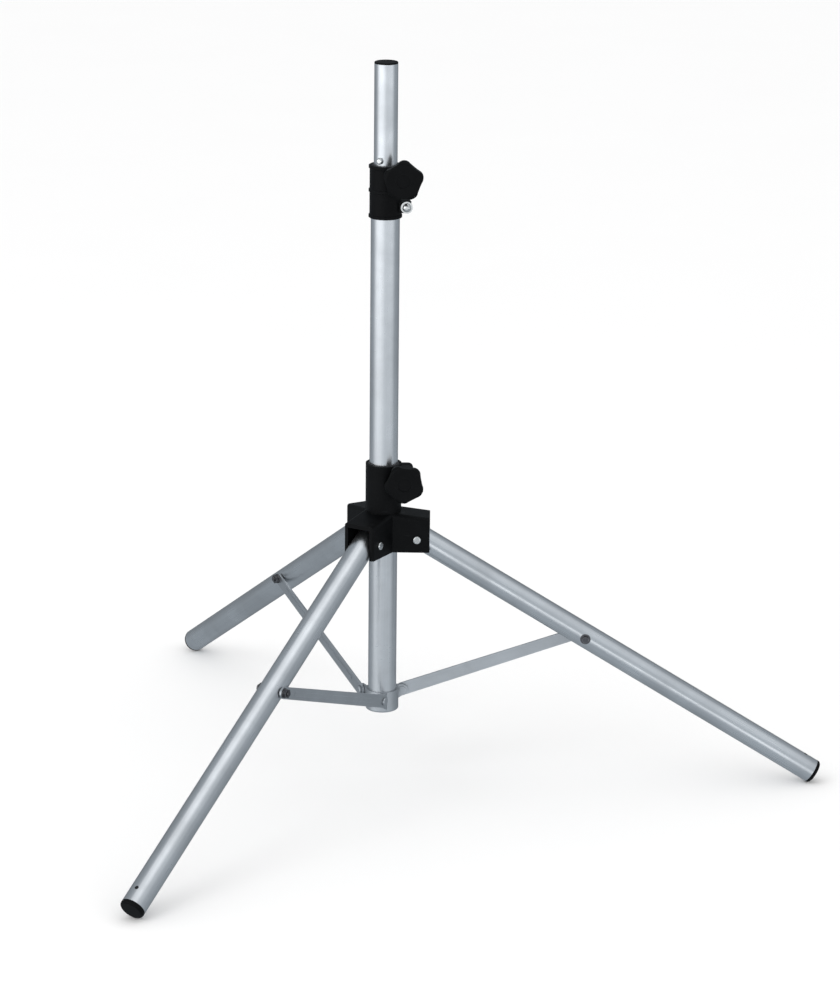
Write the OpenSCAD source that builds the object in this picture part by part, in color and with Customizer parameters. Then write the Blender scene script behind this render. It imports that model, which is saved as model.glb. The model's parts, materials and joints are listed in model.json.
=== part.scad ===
// Telescopic lighting stand: a two-section mast on a folding tripod base.
// A sliding hub carries three legs, and a flat strut runs from each leg to a collar on the mast's foot.
// Frame: +Z up, origin on the mast's axis at floor level, leg 1 along +X, legs 2 and 3 at 120 and 240
// degrees.

/* [Mast] */
// Outside diameter of the fixed mast tube
main_d = 35; // [28:0.5:45]
// Wall thickness of the fixed mast tube
main_wall = 1.5; // [1:0.1:2]
// Length of the fixed mast tube
main_len = 656; // [450:1:900]
// Outside diameter of the rising tube, a lighting spigot
riser_d = 28.5; // [22:0.5:30]
// Wall thickness of the rising tube
riser_wall = 1.5; // [1:0.1:2]
// Length of the rising tube that shows above the clamp at rest
riser_show = 122; // [80:1:300]

/* [Tripod] */
// Outside diameter of a leg tube
leg_d = 30; // [22:0.5:34]
// Wall thickness of a leg tube
leg_wall = 1.2; // [1:0.1:2]
// Distance from a leg's hub pivot to the end of its tube
leg_len = 581.5; // [400:0.5:800]
// Slope of an open leg below the horizontal, in degrees
leg_slope = 31.3; // [24:0.1:38]
// Distance from a leg's hub pivot to its strut bolt
strut_at = 245.5; // [180:0.5:300]
// Length of a strut between its two pivots
strut_len = 240.5; // [200:0.5:300]

/* [Hub] */
// Distance from the mast tube's surface out to the legs' pivots on the hub
hub_pivot_out = 24.5; // [22:0.5:32]
// Wall thickness of the hub's sleeve over the mast tube, with its clearance
hub_wall = 4.5; // [3.5:0.1:8]
// Height of the hub's sleeve above the leg pivots
hub_above = 92.5; // [80:0.5:110]
// Thickness of the hub's bracket plates
bracket_wall = 5.5; // [3:0.1:7]

/* [Clamps] */
// Height of the upper clamp
clamp_h = 64.5; // [56:0.5:90]
// Wall thickness of the upper clamp's sleeve over the mast tube
clamp_wall = 1.7; // [1.5:0.1:5]
// Diameter over a locking knob's lobes
knob_d = 49; // [36:1:56]
// Thickness of a locking knob's grip
knob_grip = 13; // [10:1:20]

/* [Base collar] */
// Height of the base collar
collar_h = 26.4; // [24:0.1:34]
// Wall thickness of the base collar
collar_wall = 2.9; // [2:0.1:4]
// Distance from the mast tube's surface out to the struts' pivots on the collar
collar_pivot_out = 7.5; // [6.5:0.5:12]

/* [Hidden] */
$fn = 64;
step = 360 / 3;

fit = 0.05;        // radial clearance of a pin in its bore
slip = 0.3;        // gap between parts that slide past each other
seat = 0.05;       // gap between a part and the part it is pressed into
bite = 1;          // how far a cutting shape runs past the surface it opens

// Fasteners
screw_d = 6;
head_d = 10;
head_t = 2.4;
nut_af = 10;
nut_t = 4;
cap_nut_t = 3;
washer_d = 12;
washer_t = 1.1;
thread_end = 3;
rivet_d = 4;
rivet_head_d = 6.8;
rivet_head_t = 1.2;

// Legs and feet
foot_t = 5;
foot_round = 3;
foot_plug_len = 34;
foot_plug_wall = 3;
foot_rivet_back = 17.5;
foot_rivet_len = 3.7;
foot_rivet_d = 4.8;
leg_tail = 12;
leg_insert_len = 30;
leg_insert_wall = 3.5;
leg_r = leg_d / 2;
leg_inner_d = leg_d - 2 * leg_wall;
main_r = main_d / 2;
hub_pivot_r = main_r + hub_pivot_out;
foot_reach = leg_len + foot_t - foot_round;
hub_z = foot_reach * sin(leg_slope) + (leg_r - foot_round) * cos(leg_slope) + foot_round;

// Struts: flat bars beside the legs, in planes of their own
bar_t = 2.5;
bar_gap = 1;
bar_r_in = 8.2;
bar_r_out = 7.2;
bar_rib_w = 5;
bar_rib_t = 0.7;
bar_rib_end = 24;
bar_y = leg_r + bar_gap;
strut_head_d = 8;
strut_head_t = 3;
strut_washer_d = 13;
strut_washer_t = 0.6;
strut_nut_back = 0.1;
strut_thread_end = 1.6;
collar_pivot_r = main_r + collar_pivot_out;
strut_top_r = hub_pivot_r + strut_at * cos(leg_slope);
strut_top_z = hub_z - strut_at * sin(leg_slope);
strut_run = strut_top_r - collar_pivot_r;
strut_slope = acos(strut_run / strut_len);
collar_pivot_z = strut_top_z - strut_len * sin(strut_slope);

// Base collar
collar_drop = 19.2;
collar_z = collar_pivot_z - collar_drop;
collar_lip = 1.8;
collar_r = main_r + seat + collar_wall;
collar_rim = 2;
collar_rivet_up = 9;
collar_rivet_turns = [60, 180];
fin_t = 3.1;
fin_r = 7.2;
fin_gap = 0.4;
fin_y = bar_y - fin_gap - fin_t;
strut_rivet_tail_t = 1.4;
base_plug_t = 2;
base_plug_len = 14;
base_plug_wall = 2.5;

// Mast stations
main_z = collar_z + collar_lip + base_plug_t + 2 * seat;
main_top = main_z + main_len;
main_bore = main_d - 2 * main_wall;

// Upper clamp: the lower part grips the mast tube, the upper part guides the rising tube
clamp_over = 31;
clamp_top = main_top + clamp_over;
clamp_z = clamp_top - clamp_h;
clamp_r = main_r + clamp_wall;
lip_out = 1.1;
lip_h = 4.5;
lip_slope = 0.8;
split_w = 2.5;
clamp_screw_x = clamp_r + 2.8;
clamp_bolt_x = clamp_r + 6.8;
clamp_knob_z = clamp_top - 14;
clamp_bolt_z = clamp_z + 14;
clamp_lug_y = 9.5;
clamp_lug_x = clamp_r + 11.8;
clamp_lug_corner = 5;
knob_lug_h = 25;
bolt_lug_h = 13.5;
bolt_washer_d = 14.4;
bolt_head_d = 10.8;
bolt_head_t = 4.5;
bolt_head_round = 4.1;
liner_wall = 1.3;
liner_r = riser_d / 2 + slip + liner_wall;

// Rising tube, its cap, its guide and its stop pin
riser_top = clamp_top + riser_show;
guide_t = 8;
guide_spigot = 28;
riser_z = main_z + 18 + guide_t;
riser_bore = riser_d - 2 * riser_wall;
cap_t = 2;
cap_spigot = 14;
cap_wall = 2.5;
pin_d = 5;
pin_head_d = 8;
pin_head_t = 4;
pin_tail = 3;
pin_z = clamp_top + 6.4;
pin_turn = -115;
depth_line_z = pin_z + pin_head_d / 2 + 1;
depth_line_h = 0.8;
depth_line_t = 0.2;

// Hub
hub_below = 16.5;
hub_roof = 31.5;
hub_roof_slope = 7.5;
hub_headroom = 21.5;
hub_reach = 15.5;
hub_r = main_r + hub_wall;
hub_bore = main_d + 2 * slip + 0.8;
bracket_gap = leg_d + 1;
bracket_w = bracket_gap + 2 * bracket_wall;
bracket_corner = 3;
bracket_round = 5;
hub_screw_x = hub_r + 4.3;
hub_knob_turn = 11;
hub_screw_z = hub_z + 74;
hub_lug_h = 32;
hub_lug_x = hub_r + 14;
hub_lug_y = 10;
hub_lug_corner = 6;
hub_slot_up = 8;
hub_pocket = 14;
hub_liner_inset = 0.5;
hub_liner_len = hub_pocket - hub_liner_inset - 2 * seat;
hub_liner_wall = 1.2;
hub_liner_r = main_r + slip + hub_liner_wall;

// Locking knobs
knob_lobes = 5;
knob_lobe_r = 9;
knob_waist = 0.6;
knob_round = 5;
knob_back_r = 11;
knob_back_t = 4;
knob_dish = 1.2;
knob_dish_d = knob_d * 0.36;
clamp_knob_turn = -93;
knob_stem_d = 10;
knob_face_gap = 0.5;
knob_clear = 1;
screw_in_grip = 8;
clamp_stem = clamp_r + lip_out + knob_clear - clamp_lug_y - knob_face_gap;
hub_stem = hub_r + knob_clear - hub_lug_y - knob_face_gap;

// ---------------------------------------------------------------- shared shapes

// Straight tube along +Z
module pipe(outer_d, inner_d, length) {
    difference() {
        cylinder(d = outer_d, h = length);
        translate([0, 0, -bite]) cylinder(d = inner_d, h = length + 2 * bite);
    }
}

// Turns +Z onto +Y, so that a shape drawn upwards runs towards +Y
module towards_y() {
    rotate([-90, 0, 0]) children();
}

// Turns +Z onto +X
module towards_x() {
    rotate([0, 90, 0]) children();
}

// Box with its vertical edges rounded, standing on z = 0, from x = 0 to length
module rounded_bar(length, width, height, corner) {
    linear_extrude(height) {
        translate([0, -width / 2]) square([length - corner, width]);
        translate([0, -width / 2 + corner]) square([length, width - 2 * corner]);
        for (side = [-1, 1]) translate([length - corner, side * (width / 2 - corner)]) circle(r = corner);
    }
}

// Hexagonal nut along +Z with a round bore
module nut(across, height, bore_d) {
    difference() {
        rotate(30) cylinder(d = across / cos(30), h = height, $fn = 6);
        translate([0, 0, -bite]) cylinder(d = bore_d, h = height + 2 * bite);
    }
}

// Low round head that starts on z = 0 and bulges towards +Z
module round_head(d, t) {
    rotate_extrude() rounded_profile(d / 2, t, t / 2);
}

// Half profile of a disc whose upper edge is rounded
module rounded_profile(r, t, corner) {
    square([r - corner, t]);
    square([r, t - corner]);
    translate([r - corner, t - corner]) intersection() {
        circle(r = corner);
        square(corner);
    }
}

// Star knob along +Z: a stem at the back, then the lobed grip with its conical back and domed front edge
module star_knob(stem) {
    difference() {
        union() {
            cylinder(d = knob_stem_d, h = stem + bite);
            translate([0, 0, stem]) intersection() {
                linear_extrude(knob_grip) knob_outline();
                knob_dome();
            }
        }
        translate([0, 0, -bite]) cylinder(d = screw_d + 2 * seat, h = stem + screw_in_grip + bite);
        translate([0, 0, stem + knob_grip - knob_dish]) cylinder(d = knob_dish_d, h = 2 * knob_dish);
    }
}

// Disc with a conical back and a rounded front edge that trims the lobes' ends
module knob_dome() {
    r = knob_d / 2;
    rim = knob_grip - knob_round;
    rotate_extrude() {
        polygon([[0, 0], [knob_back_r, 0], [r, knob_back_t], [r, rim], [r - knob_round, rim],
            [r - knob_round, knob_grip], [0, knob_grip]]);
        translate([r - knob_round, rim]) intersection() {
            circle(r = knob_round);
            square(knob_round);
        }
    }
}

// Lobes joined by nearly straight sides, each drawn in a little at its middle
module knob_outline() {
    out = knob_d / 2 - knob_lobe_r;
    half = 180 / knob_lobes;
    joint_r = knob_lobe_r - knob_waist / 2;
    waist = out * cos(half) + knob_lobe_r - knob_waist;
    polygon([for (lobe = [0:knob_lobes - 1]) let(turn = lobe * 2 * half) each [
        around(turn, out, -half, joint_r),
        around(turn, out, half, joint_r),
        around(turn + half, 0, 0, waist)
    ]]);
    for (lobe = [0:knob_lobes - 1]) rotate(lobe * 2 * half) translate([out, 0]) circle(r = knob_lobe_r);
}

// Point at distance r and at an angle from a lobe's centre, which lies at distance out in direction turn
function around(turn, out, angle, r) =
    out * [cos(turn), sin(turn)] + r * [cos(turn + angle), sin(turn + angle)];

// Puts a shape drawn with the leg along +X into leg number leg
module on_leg(leg) {
    rotate([0, 0, (leg - 1) * step]) translate([hub_pivot_r, 0, hub_z]) rotate([0, leg_slope, 0]) children();
}

// Puts a shape drawn with the strut along +X from its collar pivot into strut number leg
module on_strut(leg) {
    rotate([0, 0, (leg - 1) * step]) translate([collar_pivot_r, 0, collar_pivot_z])
        rotate([0, -strut_slope, 0]) children();
}

// ---------------------------------------------------------------- mast

module main_tube() {
    color("silver") difference() {
        translate([0, 0, main_z]) pipe(main_d, main_bore, main_len);
        collar_rivet_holes();
    }
}

module tube_bottom_plug() {
    spigot_d = main_bore - 2 * seat;
    color("dimgray") translate([0, 0, main_z - seat - base_plug_t]) {
        cylinder(d = main_d - 1, h = base_plug_t);
        pipe(spigot_d, spigot_d - 2 * base_plug_wall, base_plug_t + base_plug_len);
    }
}

module base_collar() {
    color("silver") difference() {
        union() {
            translate([0, 0, collar_z + collar_h]) mirror([0, 0, 1]) rotate_extrude()
                rounded_profile(collar_r, collar_h, collar_rim);
            for (leg = [1:3]) rotate([0, 0, (leg - 1) * step]) collar_fin();
        }
        translate([0, 0, collar_z + collar_lip]) cylinder(d = main_d + 2 * seat, h = collar_h * 2);
        translate([0, 0, collar_z - bite]) cylinder(d = main_bore - 6, h = collar_h);
        for (leg = [1:3]) rotate([0, 0, (leg - 1) * step]) collar_fin_hole();
        collar_rivet_holes();
    }
}

// Ear that stands out of the collar beside the leg's plane and carries the strut's rivet
module collar_fin() {
    root = sqrt(pow(collar_r - collar_wall / 2, 2) - pow(fin_y + fin_t, 2));
    translate([0, fin_y, 0]) towards_y() linear_extrude(fin_t) mirror([0, 1]) {
        translate([collar_pivot_r, collar_pivot_z]) circle(r = fin_r);
        translate([root, collar_pivot_z - fin_r]) square([collar_pivot_r - root, 2 * fin_r]);
        polygon([[root, collar_pivot_z], [root, collar_z + collar_rim],
            [collar_pivot_r, collar_pivot_z - fin_r]]);
    }
}

module collar_fin_hole() {
    translate([collar_pivot_r, fin_y - bite, collar_pivot_z]) towards_y()
        cylinder(d = screw_d + 2 * seat, h = fin_t + 2 * bite);
}

module collar_rivet_holes() {
    for (turn = collar_rivet_turns) rotate([0, 0, turn])
        translate([main_bore / 2 - bite, 0, collar_z + collar_rivet_up]) towards_x()
            cylinder(d = rivet_d + 2 * seat, h = collar_r);
}

module collar_rivets() {
    start = main_bore / 2;
    head_at = collar_r + seat - start;
    color("gainsboro") for (turn = collar_rivet_turns) rotate([0, 0, turn])
        translate([start, 0, collar_z + collar_rivet_up]) towards_x() {
            cylinder(d = rivet_d, h = head_at + seat);
            translate([0, 0, head_at]) round_head(rivet_head_d, rivet_head_t);
        }
}

// Rivets that hold the struts on the collar's fins; each strut turns on its rivet
module strut_base_rivets() {
    grip = fin_t + 2 * seat + fin_gap + bar_t + slip;
    color("gainsboro") for (leg = [1:3]) rotate([0, 0, (leg - 1) * step])
        translate([collar_pivot_r, fin_y - seat, collar_pivot_z]) towards_y() {
            translate([0, 0, -strut_rivet_tail_t]) cylinder(d = head_d - 1, h = strut_rivet_tail_t);
            cylinder(d = screw_d, h = grip + seat);
            translate([0, 0, grip]) round_head(head_d, head_t);
        }
}

// ---------------------------------------------------------------- upper clamp

module clamp_body() {
    color("black") difference() {
        union() {
            translate([0, 0, clamp_z]) cylinder(r = clamp_r, h = clamp_h);
            for (z = [clamp_z, main_top - lip_h / 2, clamp_top - lip_h]) translate([0, 0, z]) lip_ring();
            clamp_lug(clamp_knob_z, knob_lug_h);
            clamp_lug(clamp_bolt_z, bolt_lug_h);
        }
        translate([0, 0, clamp_z - bite])
            cylinder(d = main_d + 2 * seat, h = main_top + seat - clamp_z + bite);
        translate([0, 0, main_top]) cylinder(r = liner_r + seat, h = clamp_over + bite);
        translate([0, -split_w / 2, clamp_z - bite]) cube([clamp_lug_x + bite, split_w, clamp_h + 2 * bite]);
        translate([clamp_screw_x, -clamp_lug_y - bite, clamp_knob_z]) towards_y()
            cylinder(d = screw_d + 2 * slip, h = 2 * (clamp_lug_y + bite));
        translate([clamp_bolt_x, -clamp_lug_y - bite, clamp_bolt_z]) towards_y()
            cylinder(d = screw_d + 4 * seat, h = 2 * (clamp_lug_y + bite));
    }
}

// Raised band with sloping edges round the clamp's sleeve
module lip_ring() {
    inner = clamp_r - bite;
    outer = clamp_r + lip_out;
    rotate_extrude() polygon([[inner, 0], [clamp_r, 0], [outer, lip_slope], [outer, lip_h - lip_slope],
        [clamp_r, lip_h], [inner, lip_h]]);
}

// Pair of lugs with rounded outer ends; the split between them is cut later
module clamp_lug(z, height) {
    translate([0, -clamp_lug_y, z - height / 2]) towards_y() linear_extrude(2 * clamp_lug_y) mirror([0, 1])
        lug_outline(clamp_r - 3, clamp_lug_x, height, clamp_lug_corner);
}

// Outline of a lug from x_in to x_out, its outer corners rounded
module lug_outline(x_in, x_out, height, corner) {
    translate([x_in, 0]) square([x_out - corner - x_in, height]);
    translate([x_in, corner]) square([x_out - x_in, height - 2 * corner]);
    for (v = [corner, height - corner]) translate([x_out - corner, v]) circle(r = corner);
}

module clamp_liner() {
    color("dimgray") translate([0, 0, main_top + 2 * seat])
        difference() {
            pipe(2 * liner_r, riser_d + 2 * slip, clamp_over - 4 * seat);
            translate([0, -split_w / 2, -bite]) cube([liner_r * 2, split_w, clamp_over + 2 * bite]);
        }
}

// Pinch bolt of the lower lugs, with a domed head
module clamp_bolt() {
    head_at = -washer_t - 2 * seat;
    shank_z = head_at - bolt_head_t + bite;
    color("gainsboro") translate([clamp_bolt_x, -clamp_lug_y, clamp_bolt_z]) towards_y() {
        translate([0, 0, head_at]) mirror([0, 0, 1]) rotate_extrude()
            rounded_profile(bolt_head_d / 2, bolt_head_t, bolt_head_round);
        translate([0, 0, shank_z]) cylinder(d = screw_d, h = 2 * clamp_lug_y - shank_z + nut_t + thread_end);
    }
}

module clamp_washer() {
    color("gainsboro") translate([clamp_bolt_x, -clamp_lug_y - seat - washer_t, clamp_bolt_z]) towards_y()
        pipe(bolt_washer_d, screw_d + 4 * seat, washer_t);
}

module clamp_nuts() {
    color("gainsboro") for (place = [[clamp_screw_x, clamp_knob_z], [clamp_bolt_x, clamp_bolt_z]])
        translate([place[0], clamp_lug_y + seat, place[1]]) towards_y()
            nut(nut_af, nut_t, screw_d + 2 * fit);
}

module clamp_knob() {
    color("black") translate([clamp_screw_x, -clamp_lug_y - knob_face_gap, clamp_knob_z])
        rotate([0, 0, 180]) towards_y() rotate(clamp_knob_turn) star_knob(clamp_stem);
}

module clamp_knob_screw() {
    color("gainsboro") translate([clamp_screw_x, 0, clamp_knob_z])
        knob_screw(clamp_lug_y + knob_face_gap + clamp_stem, clamp_lug_y);
}

// Screw along Y from inside the grip, whose back is at -grip_y, through the lugs and their nut at +lug_y
module knob_screw(grip_y, lug_y) {
    tip = 1;
    start = grip_y + screw_in_grip - 4 * seat;
    shank = start + lug_y + nut_t + thread_end - tip;
    translate([0, -start, 0]) towards_y() {
        cylinder(d = screw_d, h = shank);
        translate([0, 0, shank]) cylinder(d1 = screw_d, d2 = screw_d - 1.5 * tip, h = tip);
    }
}

// ---------------------------------------------------------------- rising tube

// Plug at the rising tube's lower end, which slides in the mast and lets the tube turn
module riser_guide() {
    color("dimgray") translate([0, 0, riser_z - guide_t - slip]) {
        cylinder(d = main_bore - 2 * slip, h = guide_t);
        cylinder(d = riser_bore - 2 * slip, h = guide_t + guide_spigot);
    }
}

// The shallow line above the stop pin shows how far down a lamp's socket may go
module riser_tube() {
    color("silver") difference() {
        translate([0, 0, riser_z]) pipe(riser_d, riser_bore, riser_top - riser_z);
        rotate([0, 0, pin_turn]) translate([-riser_d, 0, pin_z]) towards_x()
            cylinder(d = pin_d + 2 * slip, h = 2 * riser_d);
        translate([0, 0, depth_line_z]) pipe(riser_d + 2 * bite, riser_d - 2 * depth_line_t, depth_line_h);
    }
}

module riser_cap() {
    spigot_d = riser_bore - 2 * seat;
    color("black") translate([0, 0, riser_top + seat]) {
        round_head(riser_d, cap_t);
        translate([0, 0, -cap_spigot]) pipe(spigot_d, spigot_d - 2 * cap_wall, cap_spigot + bite);
    }
}

// Pin through the rising tube that rests on the clamp
module stop_pin() {
    shank = pin_tail + riser_d + slip;
    color("gainsboro") rotate([0, 0, pin_turn]) translate([-riser_d / 2 - pin_tail, 0, pin_z]) towards_x() {
        cylinder(d = pin_d, h = shank + bite);
        translate([0, 0, shank]) round_head(pin_head_d, pin_head_t);
    }
}

// ---------------------------------------------------------------- hub

module hub() {
    color("black") difference() {
        union() {
            translate([0, 0, hub_z - hub_below]) cylinder(r = hub_r, h = hub_below + hub_above);
            for (leg = [1:3]) rotate([0, 0, (leg - 1) * step]) bracket();
            hub_lugs();
        }
        translate([0, 0, hub_z - hub_below - bite])
            cylinder(d = hub_bore, h = hub_below + hub_above + 2 * bite);
        for (z = [hub_z - hub_below - bite, hub_z + hub_above - hub_pocket]) translate([0, 0, z])
            cylinder(r = hub_liner_r + seat, h = hub_pocket + bite);
        for (leg = [1:3]) rotate([0, 0, (leg - 1) * step]) bracket_cavity();
        translate([0, -split_w / 2, hub_z + hub_roof + hub_slot_up])
            cube([hub_lug_x + bite, split_w, hub_above]);
        translate([hub_screw_x, -hub_lug_y - bite, hub_screw_z]) towards_y()
            cylinder(d = screw_d + 2 * slip, h = 2 * (hub_lug_y + bite));
    }
}

// Bracket along +X: its roof slopes down from the sleeve and is rounded along both sides
module bracket() {
    length = hub_pivot_r + hub_reach;
    deep = hub_below + 2 * hub_roof;
    intersection() {
        translate([0, 0, hub_z - hub_below])
            rounded_bar(length, bracket_w, hub_below + hub_roof + bracket_round, bracket_corner);
        translate([hub_r, 0, hub_z + hub_roof]) rotate([0, hub_roof_slope, 0]) translate([-2 * hub_r, 0, 0])
            towards_x() linear_extrude(2 * hub_r + length) {
                translate([bracket_round, -bracket_w / 2 - bite]) square([deep, bracket_w + 2 * bite]);
                translate([0, bracket_round - bracket_w / 2])
                    square([2 * bracket_round, bracket_w - 2 * bracket_round]);
                for (side = [-1, 1]) translate([bracket_round, side * (bracket_w / 2 - bracket_round)])
                    circle(r = bracket_round);
            }
    }
}

// Space for a leg between the bracket's plates and under its roof, and the holes for its bolt
module bracket_cavity() {
    difference() {
        translate([0, -bracket_gap / 2, hub_z - hub_below - bite])
            cube([hub_pivot_r + hub_reach + bite, bracket_gap, hub_below + hub_headroom + bite]);
        translate([0, 0, hub_z - hub_below - 2 * bite]) cylinder(r = hub_r, h = hub_below + hub_roof);
    }
    translate([hub_pivot_r, -bracket_w / 2 - bite, hub_z]) towards_y()
        cylinder(d = screw_d + 2 * seat, h = bracket_w + 2 * bite);
}

module hub_lugs() {
    translate([0, -hub_lug_y, hub_screw_z - hub_lug_h / 2]) towards_y() linear_extrude(2 * hub_lug_y)
        mirror([0, 1]) lug_outline(hub_r - 4, hub_lug_x, hub_lug_h, hub_lug_corner);
}

module hub_liners() {
    inner_d = main_d + 2 * slip;
    for (z = [hub_z - hub_below + hub_liner_inset, hub_z + hub_above - hub_liner_inset - hub_liner_len])
        color("dimgray") translate([0, 0, z]) difference() {
            pipe(2 * hub_liner_r, inner_d, hub_liner_len);
            translate([0, -split_w / 2, -bite]) cube([hub_liner_r * 2, split_w, hub_liner_len + 2 * bite]);
        }
}

module hub_nut() {
    color("gainsboro") translate([hub_screw_x, hub_lug_y + seat, hub_screw_z]) towards_y()
        nut(nut_af, nut_t, screw_d + 2 * fit);
}

// Bolts on which the legs turn, one through each bracket
module leg_pivot_bolts() {
    tail = cap_nut_t + 4 * seat;
    shank = tail + bracket_w + seat;
    color("gainsboro") for (leg = [1:3]) rotate([0, 0, (leg - 1) * step])
        translate([hub_pivot_r, -bracket_w / 2 - tail, hub_z]) towards_y() {
            cylinder(d = screw_d, h = shank + seat);
            translate([0, 0, shank]) round_head(head_d, head_t);
        }
}

// Round cap nuts on the other ends of the pivot bolts
module leg_pivot_nuts() {
    color("gainsboro") for (leg = [1:3]) rotate([0, 0, (leg - 1) * step])
        translate([hub_pivot_r, -bracket_w / 2 - seat, hub_z]) rotate([90, 0, 0]) difference() {
            round_head(head_d, cap_nut_t);
            translate([0, 0, -bite]) cylinder(d = screw_d + 2 * seat, h = cap_nut_t + 2 * bite);
        }
}

module hub_knob() {
    color("black") translate([hub_screw_x, -hub_lug_y - knob_face_gap, hub_screw_z])
        rotate([0, 0, 180]) towards_y() rotate(hub_knob_turn) star_knob(hub_stem);
}

module hub_knob_screw() {
    color("gainsboro") translate([hub_screw_x, 0, hub_screw_z])
        knob_screw(hub_lug_y + knob_face_gap + hub_stem, hub_lug_y);
}

// ---------------------------------------------------------------- legs

module leg_tube(leg) {
    color("silver") on_leg(leg) difference() {
        translate([-leg_tail, 0, 0]) towards_x() pipe(leg_d, leg_inner_d, leg_len + leg_tail);
        cross_hole(0, screw_d + 2 * fit);
        cross_hole(strut_at, screw_d + 2 * seat);
        foot_rivet_hole();
    }
}

// Hole through a leg, across it, at a distance from its hub pivot
module cross_hole(at, d) {
    translate([at, -leg_d, 0]) towards_y() cylinder(d = d, h = 2 * leg_d);
}

module foot_rivet_hole() {
    translate([leg_len - foot_rivet_back, 0, 0]) cylinder(d = foot_rivet_d + 2 * seat, h = leg_d);
}

// Sleeve inside a leg's top end that keeps the pivot bolt from crushing the tube
module leg_insert(leg) {
    insert_d = leg_inner_d - 2 * seat;
    color("dimgray") on_leg(leg) difference() {
        translate([-leg_tail + bite / 2, 0, 0]) towards_x()
            pipe(insert_d, insert_d - 2 * leg_insert_wall, leg_insert_len);
        cross_hole(0, screw_d + 2 * fit);
    }
}

module foot_plug(leg) {
    spigot_d = leg_inner_d - 2 * seat;
    color("black") on_leg(leg) difference() {
        translate([leg_len + seat, 0, 0]) towards_x() {
            rotate_extrude() rounded_profile(leg_r, foot_t, foot_round);
            translate([0, 0, -foot_plug_len])
                pipe(spigot_d, spigot_d - 2 * foot_plug_wall, foot_plug_len + bite);
        }
        foot_rivet_hole();
    }
}

// Button that lies flush in the hole through the tube and holds the foot plug
module foot_rivet(leg) {
    color("black") on_leg(leg) translate([leg_len - foot_rivet_back, 0, leg_r - foot_rivet_len])
        cylinder(d = foot_rivet_d, h = foot_rivet_len);
}

// Bolt across a leg that carries its strut, with a washer on each side of the tube
module strut_bolt(leg) {
    near = leg_r + strut_washer_t + seat;
    color("dimgray") on_leg(leg) translate([strut_at, -near, 0]) towards_y() {
        translate([0, 0, -strut_head_t]) cylinder(d = strut_head_d, h = strut_head_t);
        cylinder(d = strut_washer_d, h = strut_washer_t);
        cylinder(d = screw_d, h = near + leg_r + strut_washer_t);
        translate([0, 0, near + leg_r + seat]) cylinder(d = strut_washer_d, h = strut_washer_t - seat);
    }
}

// ---------------------------------------------------------------- struts

module strut(leg) {
    color("silver") on_strut(leg) translate([0, bar_y, 0]) towards_y() difference() {
        union() {
            linear_extrude(bar_t) bar_outline();
            translate([bar_rib_end, -bar_rib_w / 2, 0])
                cube([strut_len - 2 * bar_rib_end, bar_rib_w, bar_t + bar_rib_t]);
        }
        for (x = [0, strut_len]) translate([x, 0, -bite])
            cylinder(d = screw_d + 2 * fit, h = bar_t + 2 * bite);
    }
}

module bar_outline() {
    circle(r = bar_r_in);
    translate([strut_len, 0]) circle(r = bar_r_out);
    polygon([[0, -bar_r_in], [strut_len, -bar_r_out], [strut_len, bar_r_out], [0, bar_r_in]]);
}

// The bolt's threaded end, washer and nut on the outside of the strut
module strut_nut(leg) {
    washer_z = strut_nut_back + bar_t + seat;
    nut_z = washer_z + washer_t;
    color("dimgray") on_strut(leg) translate([strut_len, bar_y - strut_nut_back, 0]) towards_y() {
        cylinder(d = screw_d, h = nut_z + nut_t + strut_thread_end);
        translate([0, 0, washer_z]) cylinder(d = washer_d, h = washer_t);
        translate([0, 0, nut_z]) cylinder(d = nut_af / cos(30), h = nut_t, $fn = 6);
    }
}

// ---------------------------------------------------------------- assembly

main_tube();
tube_bottom_plug();
base_collar();
collar_rivets();
strut_base_rivets();
clamp_body();
clamp_liner();
clamp_bolt();
clamp_nuts();
clamp_washer();
clamp_knob();
clamp_knob_screw();
riser_guide();
riser_tube();
riser_cap();
stop_pin();
hub();
hub_liners();
hub_nut();
leg_pivot_bolts();
leg_pivot_nuts();
hub_knob();
hub_knob_screw();
leg_tube(1);  // leg_tube_1
leg_tube(2);  // leg_tube_2
leg_tube(3);  // leg_tube_3
leg_insert(1);  // leg_insert_1
leg_insert(2);  // leg_insert_2
leg_insert(3);  // leg_insert_3
foot_plug(1);  // foot_plug_1
foot_plug(2);  // foot_plug_2
foot_plug(3);  // foot_plug_3
foot_rivet(1);  // foot_rivet_1
foot_rivet(2);  // foot_rivet_2
foot_rivet(3);  // foot_rivet_3
strut_bolt(1);  // strut_bolt_1
strut_bolt(2);  // strut_bolt_2
strut_bolt(3);  // strut_bolt_3
strut(1);  // strut_1
strut(2);  // strut_2
strut(3);  // strut_3
strut_nut(1);  // strut_nut_1
strut_nut(2);  // strut_nut_2
strut_nut(3);  // strut_nut_3
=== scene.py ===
"""Looks of the telescopic lighting stand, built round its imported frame. Everything is in metres."""

import json
import math

import bpy
from mathutils import Matrix, Vector


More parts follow.
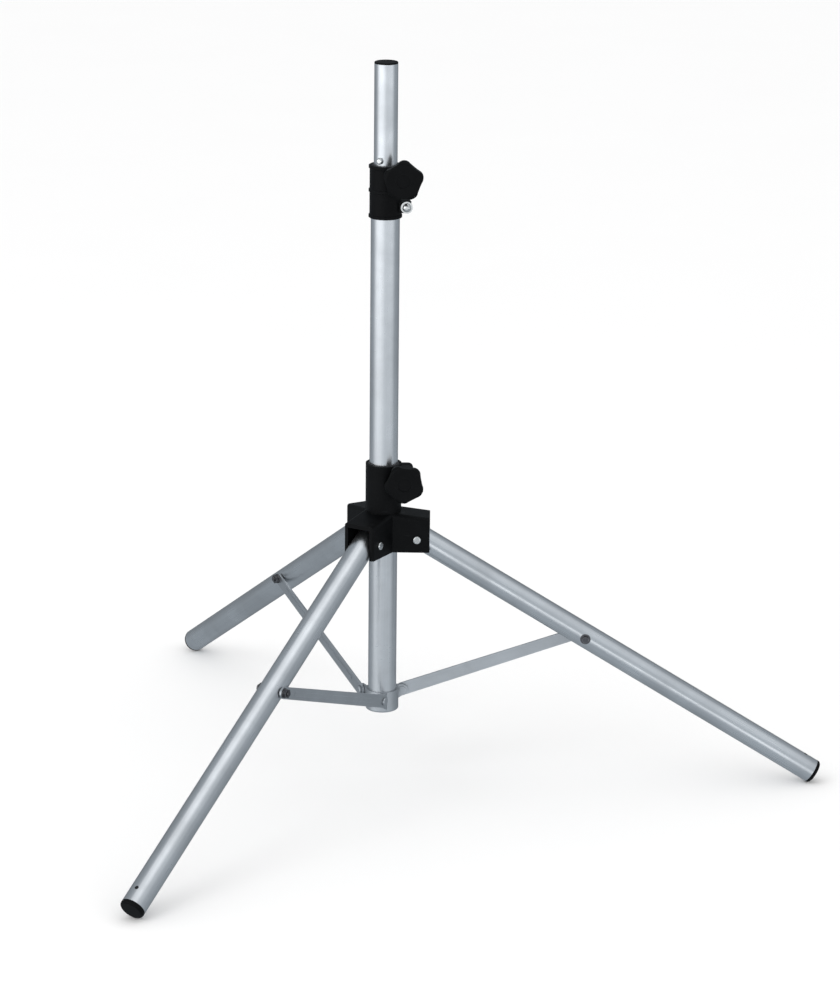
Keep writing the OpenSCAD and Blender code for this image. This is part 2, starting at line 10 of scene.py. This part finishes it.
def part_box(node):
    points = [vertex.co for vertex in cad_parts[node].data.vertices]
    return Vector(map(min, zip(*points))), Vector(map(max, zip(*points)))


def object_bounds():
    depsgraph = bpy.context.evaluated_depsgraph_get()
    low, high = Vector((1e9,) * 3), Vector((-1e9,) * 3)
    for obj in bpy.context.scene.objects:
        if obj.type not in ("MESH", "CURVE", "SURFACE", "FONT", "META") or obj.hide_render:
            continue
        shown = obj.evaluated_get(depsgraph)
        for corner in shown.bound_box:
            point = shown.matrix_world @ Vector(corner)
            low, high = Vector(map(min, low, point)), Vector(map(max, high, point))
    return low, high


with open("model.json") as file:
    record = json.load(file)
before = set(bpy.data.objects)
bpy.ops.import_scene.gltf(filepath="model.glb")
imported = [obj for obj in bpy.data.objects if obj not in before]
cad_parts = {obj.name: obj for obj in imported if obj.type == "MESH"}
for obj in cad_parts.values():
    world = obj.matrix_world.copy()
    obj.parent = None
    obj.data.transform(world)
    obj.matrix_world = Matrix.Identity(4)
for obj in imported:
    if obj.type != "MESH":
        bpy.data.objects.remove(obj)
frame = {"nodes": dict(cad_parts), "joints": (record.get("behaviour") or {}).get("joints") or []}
cad_low, cad_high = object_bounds()

# ------------------------------------------------------------------ the stand's directions

NODES = frame["nodes"]
JOINTS = {joint["name"]: joint for joint in frame["joints"]}
LEGS = (1, 2, 3)
LEG_STEP = math.radians(120)
STRUT_WIDTH = 0.015
UPRIGHT = Matrix.Identity(3)


def leg_turn(leg):
    """Angle of a leg about the mast, in radians."""
    return LEG_STEP * (leg - 1)


def leg_slope():
    """Slope of an open leg below the horizontal, in radians."""
    return math.radians(90 - JOINTS["leg_1_fold"]["range_deg"][1])


def strut_slope():
    """Slope of an open strut above the horizontal, from its box less the width of its ends."""
    low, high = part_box("strut_1")
    return math.atan2(high.z - low.z - STRUT_WIDTH, high.x - low.x - STRUT_WIDTH)


def along(turn, slope):
    """Rotation that brings a bar, which slopes down by slope at that turn, onto +Z."""
    outward = math.cos(slope)
    down = Vector((math.cos(turn) * outward, math.sin(turn) * outward, -math.sin(slope)))
    return down.rotation_difference(Vector((0, 0, 1))).to_matrix()


# ------------------------------------------------------------------ node helpers


class Tree:
    """A node tree, with short calls for the nodes that the finishes and the studio share."""

    def __init__(self, tree):
        self.tree = tree
        tree.nodes.clear()

    def node(self, kind, **settings):
        made = self.tree.nodes.new(kind)
        for key, value in settings.items():
            setattr(made, key, value)
        return made

    def link(self, source, target):
        self.tree.links.new(source, target)

    def feed(self, value, socket):
        """Put a number or a colour on the socket itself, or link an output to it."""
        if isinstance(value, (int, float)):
            socket.default_value = value
        elif isinstance(value, tuple):
            socket.default_value = (*value, 1.0)
        else:
            self.link(value, socket)

    def maths(self, operation, a, b):
        made = self.node("ShaderNodeMath", operation=operation)
        self.feed(a, made.inputs[0])
        self.feed(b, made.inputs[1])
        return made.outputs["Value"]

    def spread(self, source, low, high, to_low=0.0, to_high=1.0, curve="LINEAR"):
        """source from low..high to to_low..to_high, clamped."""
        made = self.node("ShaderNodeMapRange", interpolation_type=curve)
        made.inputs["From Min"].default_value = low
        made.inputs["From Max"].default_value = high
        made.inputs["To Min"].default_value = to_low
        made.inputs["To Max"].default_value = to_high
        self.link(source, made.inputs["Value"])
        return made.outputs["Result"]


class Graph(Tree):
    """A new material with one shader, and the textures that the finishes are made of."""

    # Cosine between the rounded and the flat normal where an edge starts and is fully worn
    EDGE_START = 0.995
    EDGE_FULL = 0.86
    EDGE_SAMPLES = 4

    def __init__(self, name):
        self.material = bpy.data.materials.new(name)
        self.material.use_nodes = True
        super().__init__(self.material.node_tree)
        self.shader = self.node("ShaderNodeBsdfPrincipled")
        output = self.node("ShaderNodeOutputMaterial")
        self.link(self.shader.outputs["BSDF"], output.inputs["Surface"])
        self.place = self.node("ShaderNodeTexCoord").outputs["Object"]

    def turned(self, rotation):
        """Coordinates turned so that the bar's length lies along Z."""
        mapping = self.node("ShaderNodeMapping")
        mapping.inputs["Rotation"].default_value = rotation.to_euler()
        self.link(self.place, mapping.inputs["Vector"])
        return mapping.outputs["Vector"]

    def scaled(self, source, scale):
        mapping = self.node("ShaderNodeMapping")
        mapping.inputs["Scale"].default_value = scale
        self.link(source, mapping.inputs["Vector"])
        return mapping.outputs["Vector"]

    def noise(self, source, scale, detail=3.0, roughness=0.5, distortion=0.0):
        made = self.node("ShaderNodeTexNoise")
        made.inputs["Scale"].default_value = scale
        made.inputs["Detail"].default_value = detail
        made.inputs["Roughness"].default_value = roughness
        made.inputs["Distortion"].default_value = distortion
        self.link(source, made.inputs["Vector"])
        return made.outputs["Fac"]

    def blend(self, amount, a, b):
        """Colour a where amount is 0, b where it is 1."""
        made = self.node("ShaderNodeMix", data_type="RGBA")
        self.link(amount, made.inputs["Factor"])
        self.feed(a, made.inputs[6])
        self.feed(b, made.inputs[7])
        return made.outputs[2]

    def edges(self, radius):
        """1 on worn outer and inner edges, 0 on flats."""
        rounded = self.node("ShaderNodeBevel", samples=self.EDGE_SAMPLES)
        rounded.inputs["Radius"].default_value = radius
        flat = self.node("ShaderNodeNewGeometry")
        agree = self.node("ShaderNodeVectorMath", operation="DOT_PRODUCT")
        self.link(rounded.outputs["Normal"], agree.inputs[0])
        self.link(flat.outputs["Normal"], agree.inputs[1])
        return self.spread(agree.outputs["Value"], self.EDGE_START, self.EDGE_FULL)

    def bump(self, height, strength, distance, under=None):
        made = self.node("ShaderNodeBump")
        made.inputs["Strength"].default_value = strength
        made.inputs["Distance"].default_value = distance
        self.link(height, made.inputs["Height"])
        if under is not None:
            self.link(under, made.inputs["Normal"])
        return made.outputs["Normal"]


# ------------------------------------------------------------------ the two families of finish

# Radius over which an edge shows wear
METAL_EDGE = 0.0012
PLASTIC_EDGE = 0.0010

# How far each feature takes the colour towards its worn tone
LINE_TINT = 0.35
SPARKLE_TINT = 0.45
SCUFF_TINT = 0.35
PLASTIC_EDGE_TINT = 0.35

# Brightness of the handling clouds, as a share of the colour
METAL_CLOUD = 0.82
PLASTIC_CLOUD = 1.8

SCRATCH_POLISH = 0.03
SCUFF_POLISH = 0.08
PLASTIC_SHINE = 0.08


def metal(name, colour, worn, rotation=UPRIGHT, rough=0.30, grain=0.5, streak=0.4, edge=0.5):
    """Drawn lines along the bar, a fine sparkling grain, faint handling clouds and worn edges."""
    g = Graph(name)
    bar = g.turned(rotation)
    lines = g.noise(g.scaled(bar, (520.0, 520.0, 7.0)), scale=1.0, detail=4.0, roughness=0.62)
    sparkle = g.noise(bar, scale=1700.0, detail=2.0, roughness=0.6)
    clouds = g.noise(bar, scale=16.0, detail=4.0, roughness=0.58, distortion=0.4)
    across = g.scaled(bar, (95.0, 95.0, 900.0))
    scratches = g.spread(g.noise(across, scale=1.0, detail=2.0, roughness=0.4), 0.69, 0.76)
    wear = g.spread(g.noise(bar, scale=210.0, detail=4.0), 0.32, 0.62)
    worn_edges = g.maths("MULTIPLY", g.edges(METAL_EDGE), wear)

    line_tint = g.maths("MULTIPLY", g.spread(lines, 0.35, 0.65), LINE_TINT * streak)
    sparkle_tint = g.maths("MULTIPLY", g.spread(sparkle, 0.52, 0.74), SPARKLE_TINT * grain)
    clouded = tuple(METAL_CLOUD * part for part in colour)
    shade = g.blend(g.spread(clouds, 0.34, 0.66), colour, clouded)
    shade = g.blend(line_tint, shade, worn)
    shade = g.blend(sparkle_tint, shade, worn)
    shade = g.blend(g.maths("MULTIPLY", worn_edges, edge), shade, worn)
    g.link(shade, g.shader.inputs["Base Color"])
    g.shader.inputs["Metallic"].default_value = 1.0

    cloud_gloss = g.spread(clouds, 0.3, 0.7, rough - 0.04, rough + 0.06)
    gloss = g.maths("ADD", cloud_gloss, g.spread(lines, 0.3, 0.7, -0.03, 0.03))
    gloss = g.maths("SUBTRACT", gloss, g.maths("MULTIPLY", scratches, SCRATCH_POLISH))
    g.link(gloss, g.shader.inputs["Roughness"])

    relief = g.bump(sparkle, strength=0.22 * grain, distance=0.00012)
    relief = g.bump(lines, strength=0.16 * streak, distance=0.0001, under=relief)
    relief = g.bump(scratches, strength=0.05, distance=0.00004, under=relief)
    g.link(relief, g.shader.inputs["Normal"])
    return g.material


def plastic(name, colour, worn, rough=0.46):
    """Moulded plastic: a fine spark-eroded grain, cloudy gloss, faint scuffs and worn edges."""
    g = Graph(name)
    grain = g.noise(g.place, scale=1500.0, detail=3.0, roughness=0.65)
    clouds = g.noise(g.place, scale=42.0, detail=5.0, roughness=0.6, distortion=0.6)
    stretched = g.scaled(g.place, (1.0, 1.0, 0.25))
    flow = g.noise(stretched, scale=90.0, detail=3.0, roughness=0.5, distortion=1.2)
    across = g.scaled(g.place, (60.0, 60.0, 620.0))
    scuffs = g.spread(g.noise(across, scale=1.0, detail=3.0, roughness=0.5), 0.66, 0.78)
    wear = g.spread(g.noise(g.place, scale=260.0, detail=4.0), 0.36, 0.62)
    worn_edges = g.maths("MULTIPLY", g.edges(PLASTIC_EDGE), wear)

    clouded = tuple(PLASTIC_CLOUD * part for part in colour)
    shade = g.blend(g.spread(clouds, 0.35, 0.7), colour, clouded)
    shade = g.blend(g.maths("MULTIPLY", scuffs, SCUFF_TINT), shade, worn)
    shade = g.blend(g.maths("MULTIPLY", worn_edges, PLASTIC_EDGE_TINT), shade, worn)
    g.link(shade, g.shader.inputs["Base Color"])

    cloud_gloss = g.spread(clouds, 0.3, 0.7, rough - 0.06, rough + 0.07)
    gloss = g.maths("ADD", cloud_gloss, g.spread(flow, 0.35, 0.65, -0.03, 0.03))
    gloss = g.maths("SUBTRACT", gloss, g.maths("MULTIPLY", worn_edges, SCUFF_POLISH))
    g.link(gloss, g.shader.inputs["Roughness"])
    g.shader.inputs["Specular IOR Level"].default_value = PLASTIC_SHINE

    relief = g.bump(grain, strength=0.30, distance=0.00012)
    relief = g.bump(flow, strength=0.12, distance=0.00022, under=relief)
    g.link(relief, g.shader.inputs["Normal"])
    return g.material


# ------------------------------------------------------------------ finishes

SILVER = (0.645, 0.662, 0.682)
SILVER_WORN = (0.86, 0.88, 0.90)
STEEL = (0.515, 0.533, 0.553)
STEEL_WORN = (0.72, 0.75, 0.78)
ZINC = (0.66, 0.66, 0.65)
ZINC_WORN = (0.90, 0.90, 0.88)
BLACKENED = (0.10, 0.10, 0.11)
BLACKENED_WORN = (0.42, 0.41, 0.40)
RIVET_BLACK = (0.03, 0.03, 0.032)
BLACK = (0.0020, 0.0022, 0.0025)
BLACK_WORN = (0.022, 0.024, 0.025)
NYLON = (0.050, 0.050, 0.053)
NYLON_WORN = (0.16, 0.16, 0.165)

mast_silver = metal("anodised_mast", SILVER, SILVER_WORN)
leg_silver = {}
strut_silver = {}
for leg in LEGS:
    leg_way = along(leg_turn(leg), leg_slope())
    strut_way = along(leg_turn(leg), -strut_slope())
    leg_silver[leg] = metal(f"anodised_leg_{leg}", SILVER, SILVER_WORN, leg_way)
    strut_silver[leg] = metal(
        f"strut_steel_{leg}", STEEL, STEEL_WORN, strut_way, rough=0.38, streak=0.25
    )
collar_silver = metal("collar_steel", STEEL, STEEL_WORN, rough=0.38, streak=0.15, grain=0.8)
zinc = metal("zinc_plate", ZINC, ZINC_WORN, rough=0.22, streak=0.1, grain=0.4, edge=0.7)
dark_steel = metal(
    "blackened_steel", BLACKENED, BLACKENED_WORN, rough=0.40, streak=0.05, edge=0.8
)
rivet_black = metal("blackened_rivet", RIVET_BLACK, BLACKENED_WORN, rough=0.42, streak=0.05)
black = plastic("moulded_black", BLACK, BLACK_WORN)
nylon = plastic("moulded_nylon", NYLON, NYLON_WORN, rough=0.5)

# Pieces by the whole name, then by how the name starts. Every other piece is zinc plated.
BY_NAME = {
    **dict.fromkeys(("main_tube", "riser_tube"), mast_silver),
    **dict.fromkeys(("base_collar", "collar_rivets", "strut_base_rivets"), collar_silver),
    **dict.fromkeys(("clamp_body", "clamp_knob", "hub", "hub_knob", "riser_cap"), black),
    **dict.fromkeys(("tube_bottom_plug", "clamp_liner", "riser_guide", "hub_liners"), nylon),
    **{f"leg_tube_{leg}": leg_silver[leg] for leg in LEGS},
    **{f"strut_{leg}": strut_silver[leg] for leg in LEGS},
}
BY_START = {
    "foot_rivet": rivet_black,
    "foot_plug": black,
    "leg_insert": nylon,
    "strut_bolt": dark_steel,
    "strut_nut": dark_steel,
}


def finish_of(name):
    """The finish of a CAD node, from its name."""
    if name in BY_NAME:
        return BY_NAME[name]
    for start, finish in BY_START.items():
        if name.startswith(start):
            return finish
    return zinc


for name, node in NODES.items():
    node.data.materials.clear()
    node.data.materials.append(finish_of(name))

# ------------------------------------------------------------------ floor

FLOOR_SIZE = 60.0
FLOOR_GAP = 0.0002
PALE = (0.90, 0.90, 0.90)
PALE_CLOUD = 0.985

bpy.ops.mesh.primitive_plane_add(size=FLOOR_SIZE, location=(0, 0, cad_low.z - FLOOR_GAP))
floor = bpy.context.object
floor.name = "floor"
floor_graph = Graph("pale_floor")
floor_clouds = floor_graph.noise(floor_graph.place, scale=3.0)
floor_tone = floor_graph.blend(floor_clouds, PALE, tuple(PALE_CLOUD * part for part in PALE))
floor_graph.link(floor_tone, floor_graph.shader.inputs["Base Color"])
floor_graph.shader.inputs["Roughness"].default_value = 0.9
floor_graph.shader.inputs["Specular IOR Level"].default_value = 0.1
floor.data.materials.append(floor_graph.material)
floor.visible_glossy = False

# ------------------------------------------------------------------ lights


def softbox(name, place, aim, width, height, power):
    """Large soft light that neither the camera nor a reflection sees."""
    data = bpy.data.lights.new(name, "AREA")
    data.shape = "RECTANGLE"
    data.size = width
    data.size_y = height
    data.energy = power
    light = bpy.data.objects.new(name, data)
    bpy.context.scene.collection.objects.link(light)
    light.location = place
    light.rotation_mode = "QUATERNION"
    light.rotation_quaternion = (Vector(aim) - Vector(place)).to_track_quat("-Z", "Y")
    light.visible_camera = False
    light.visible_glossy = False


middle = (cad_low + cad_high) / 2
softbox("key", place=(-2.6, -2.4, 3.2), aim=middle, width=2.2, height=2.2, power=26)
softbox("fill", place=(3.4, -2.6, 2.4), aim=middle, width=2.6, height=2.2, power=9)

# ------------------------------------------------------------------ studio

# The floor and the matt surfaces are lit evenly. Only what the metal mirrors has shape: a bright
# band of front wall, a window at the left front, a ceiling, a faint high window at the right front,
# and a bluish glow all round that is dimmest at the back.

UP = (0, 0, 1)
DOWN = (0, 0, -1)
FRONT = (0, -1, 0)
LEFT_FRONT = (-0.74, -0.67, 0.0)
OVERHEAD = (0.10, -0.05, 0.99)
HIGH_RIGHT = (0.55, -0.42, 0.72)
WHITE = (1.0, 1.0, 1.0)
BLUISH = (0.90, 1.0, 1.09)
BACK_WALL = 0.24
EVEN = 1.09

world = bpy.data.worlds.new("studio")
bpy.context.scene.world = world
world.use_nodes = True
sky = Tree(world.node_tree)
direction = sky.node("ShaderNodeTexCoord").outputs["Generated"]


def glow(toward, low, high, gain):
    """gain towards one direction, falling to nothing where the cosine to it is low."""
    dot = sky.node("ShaderNodeVectorMath", operation="DOT_PRODUCT")
    dot.inputs[1].default_value = Vector(toward).normalized()
    sky.link(direction, dot.inputs[0])
    return sky.spread(dot.outputs["Value"], low, high, to_high=gain, curve="SMOOTHSTEP")


def backlight(strength, colour):
    """Light of one colour from all round, with a strength that may vary by direction."""
    made = sky.node("ShaderNodeBackground")
    sky.feed(colour, made.inputs["Color"])
    sky.feed(strength, made.inputs["Strength"])
    return made.outputs["Background"]


above_low_band = glow(UP, low=-0.285, high=-0.16, gain=1.0)
below_high_band = glow(DOWN, low=-0.14, high=0.06, gain=1.0)
front_wall = sky.maths("MULTIPLY", glow(FRONT, low=-0.1, high=0.55, gain=0.92), below_high_band)
left_window = glow(LEFT_FRONT, low=0.60, high=0.98, gain=1.0)
walls = sky.maths("MULTIPLY", sky.maths("ADD", front_wall, left_window), above_low_band)
ceiling = glow(OVERHEAD, low=0.80, high=0.99, gain=0.74)
high_window = glow(HIGH_RIGHT, low=0.70, high=0.97, gain=0.30)
white_part = sky.maths("ADD", sky.maths("ADD", walls, ceiling), high_window)
low_front = glow(FRONT, low=-0.1, high=0.55, gain=0.09)
sides = glow(FRONT, low=-0.97, high=-0.45, gain=0.17)
blue_part = sky.maths("ADD", sky.maths("ADD", low_front, sides), BACK_WALL)

mirrored = sky.node("ShaderNodeAddShader")
sky.link(backlight(white_part, WHITE), mirrored.inputs[0])
sky.link(backlight(blue_part, BLUISH), mirrored.inputs[1])

# A reflection sees the mirrored studio, and every other ray the even light.
shown = sky.node("ShaderNodeMixShader")
sky.link(sky.node("ShaderNodeLightPath").outputs["Is Glossy Ray"], shown.inputs["Fac"])
sky.link(backlight(EVEN, WHITE), shown.inputs[1])
sky.link(mirrored.outputs["Shader"], shown.inputs[2])
sky.link(shown.outputs["Shader"], sky.node("ShaderNodeOutputWorld").inputs["Surface"])

# ------------------------------------------------------------------ camera

CAMERA_DISTANCE = 4.3221
CAMERA_HEIGHT = 1.6711
CAMERA_PITCH = math.radians(16.862)
CAMERA_YAW = math.radians(0.597)
CAMERA_ROLL = math.radians(0.568)
CAMERA_TURN = math.radians(1.44)
SENSOR = 36.0
LENS = 132.22
NEAREST = 0.05
FURTHEST = 200

camera_data = bpy.data.cameras.new("camera")
camera_data.sensor_width = SENSOR
camera_data.lens = LENS
camera_data.clip_start = NEAREST
camera_data.clip_end = FURTHEST
camera = bpy.data.objects.new("camera", camera_data)
bpy.context.scene.collection.objects.link(camera)
forward = Vector((
    math.sin(CAMERA_YAW) * math.cos(CAMERA_PITCH),
    math.cos(CAMERA_YAW) * math.cos(CAMERA_PITCH),
    -math.sin(CAMERA_PITCH),
))
level = Vector((math.cos(CAMERA_YAW), -math.sin(CAMERA_YAW), 0))
above = level.cross(forward)
right = math.cos(CAMERA_ROLL) * level + math.sin(CAMERA_ROLL) * above
up = -math.sin(CAMERA_ROLL) * level + math.cos(CAMERA_ROLL) * above
facing = Matrix((right, up, -forward)).transposed().to_4x4()
swing = Matrix.Rotation(CAMERA_TURN, 4, "Z")
stand_off = Matrix.Translation((0, -CAMERA_DISTANCE, CAMERA_HEIGHT))
camera.matrix_world = swing @ stand_off @ facing
bpy.context.scene.camera = camera
bpy.context.scene.view_settings.view_transform = "Standard"
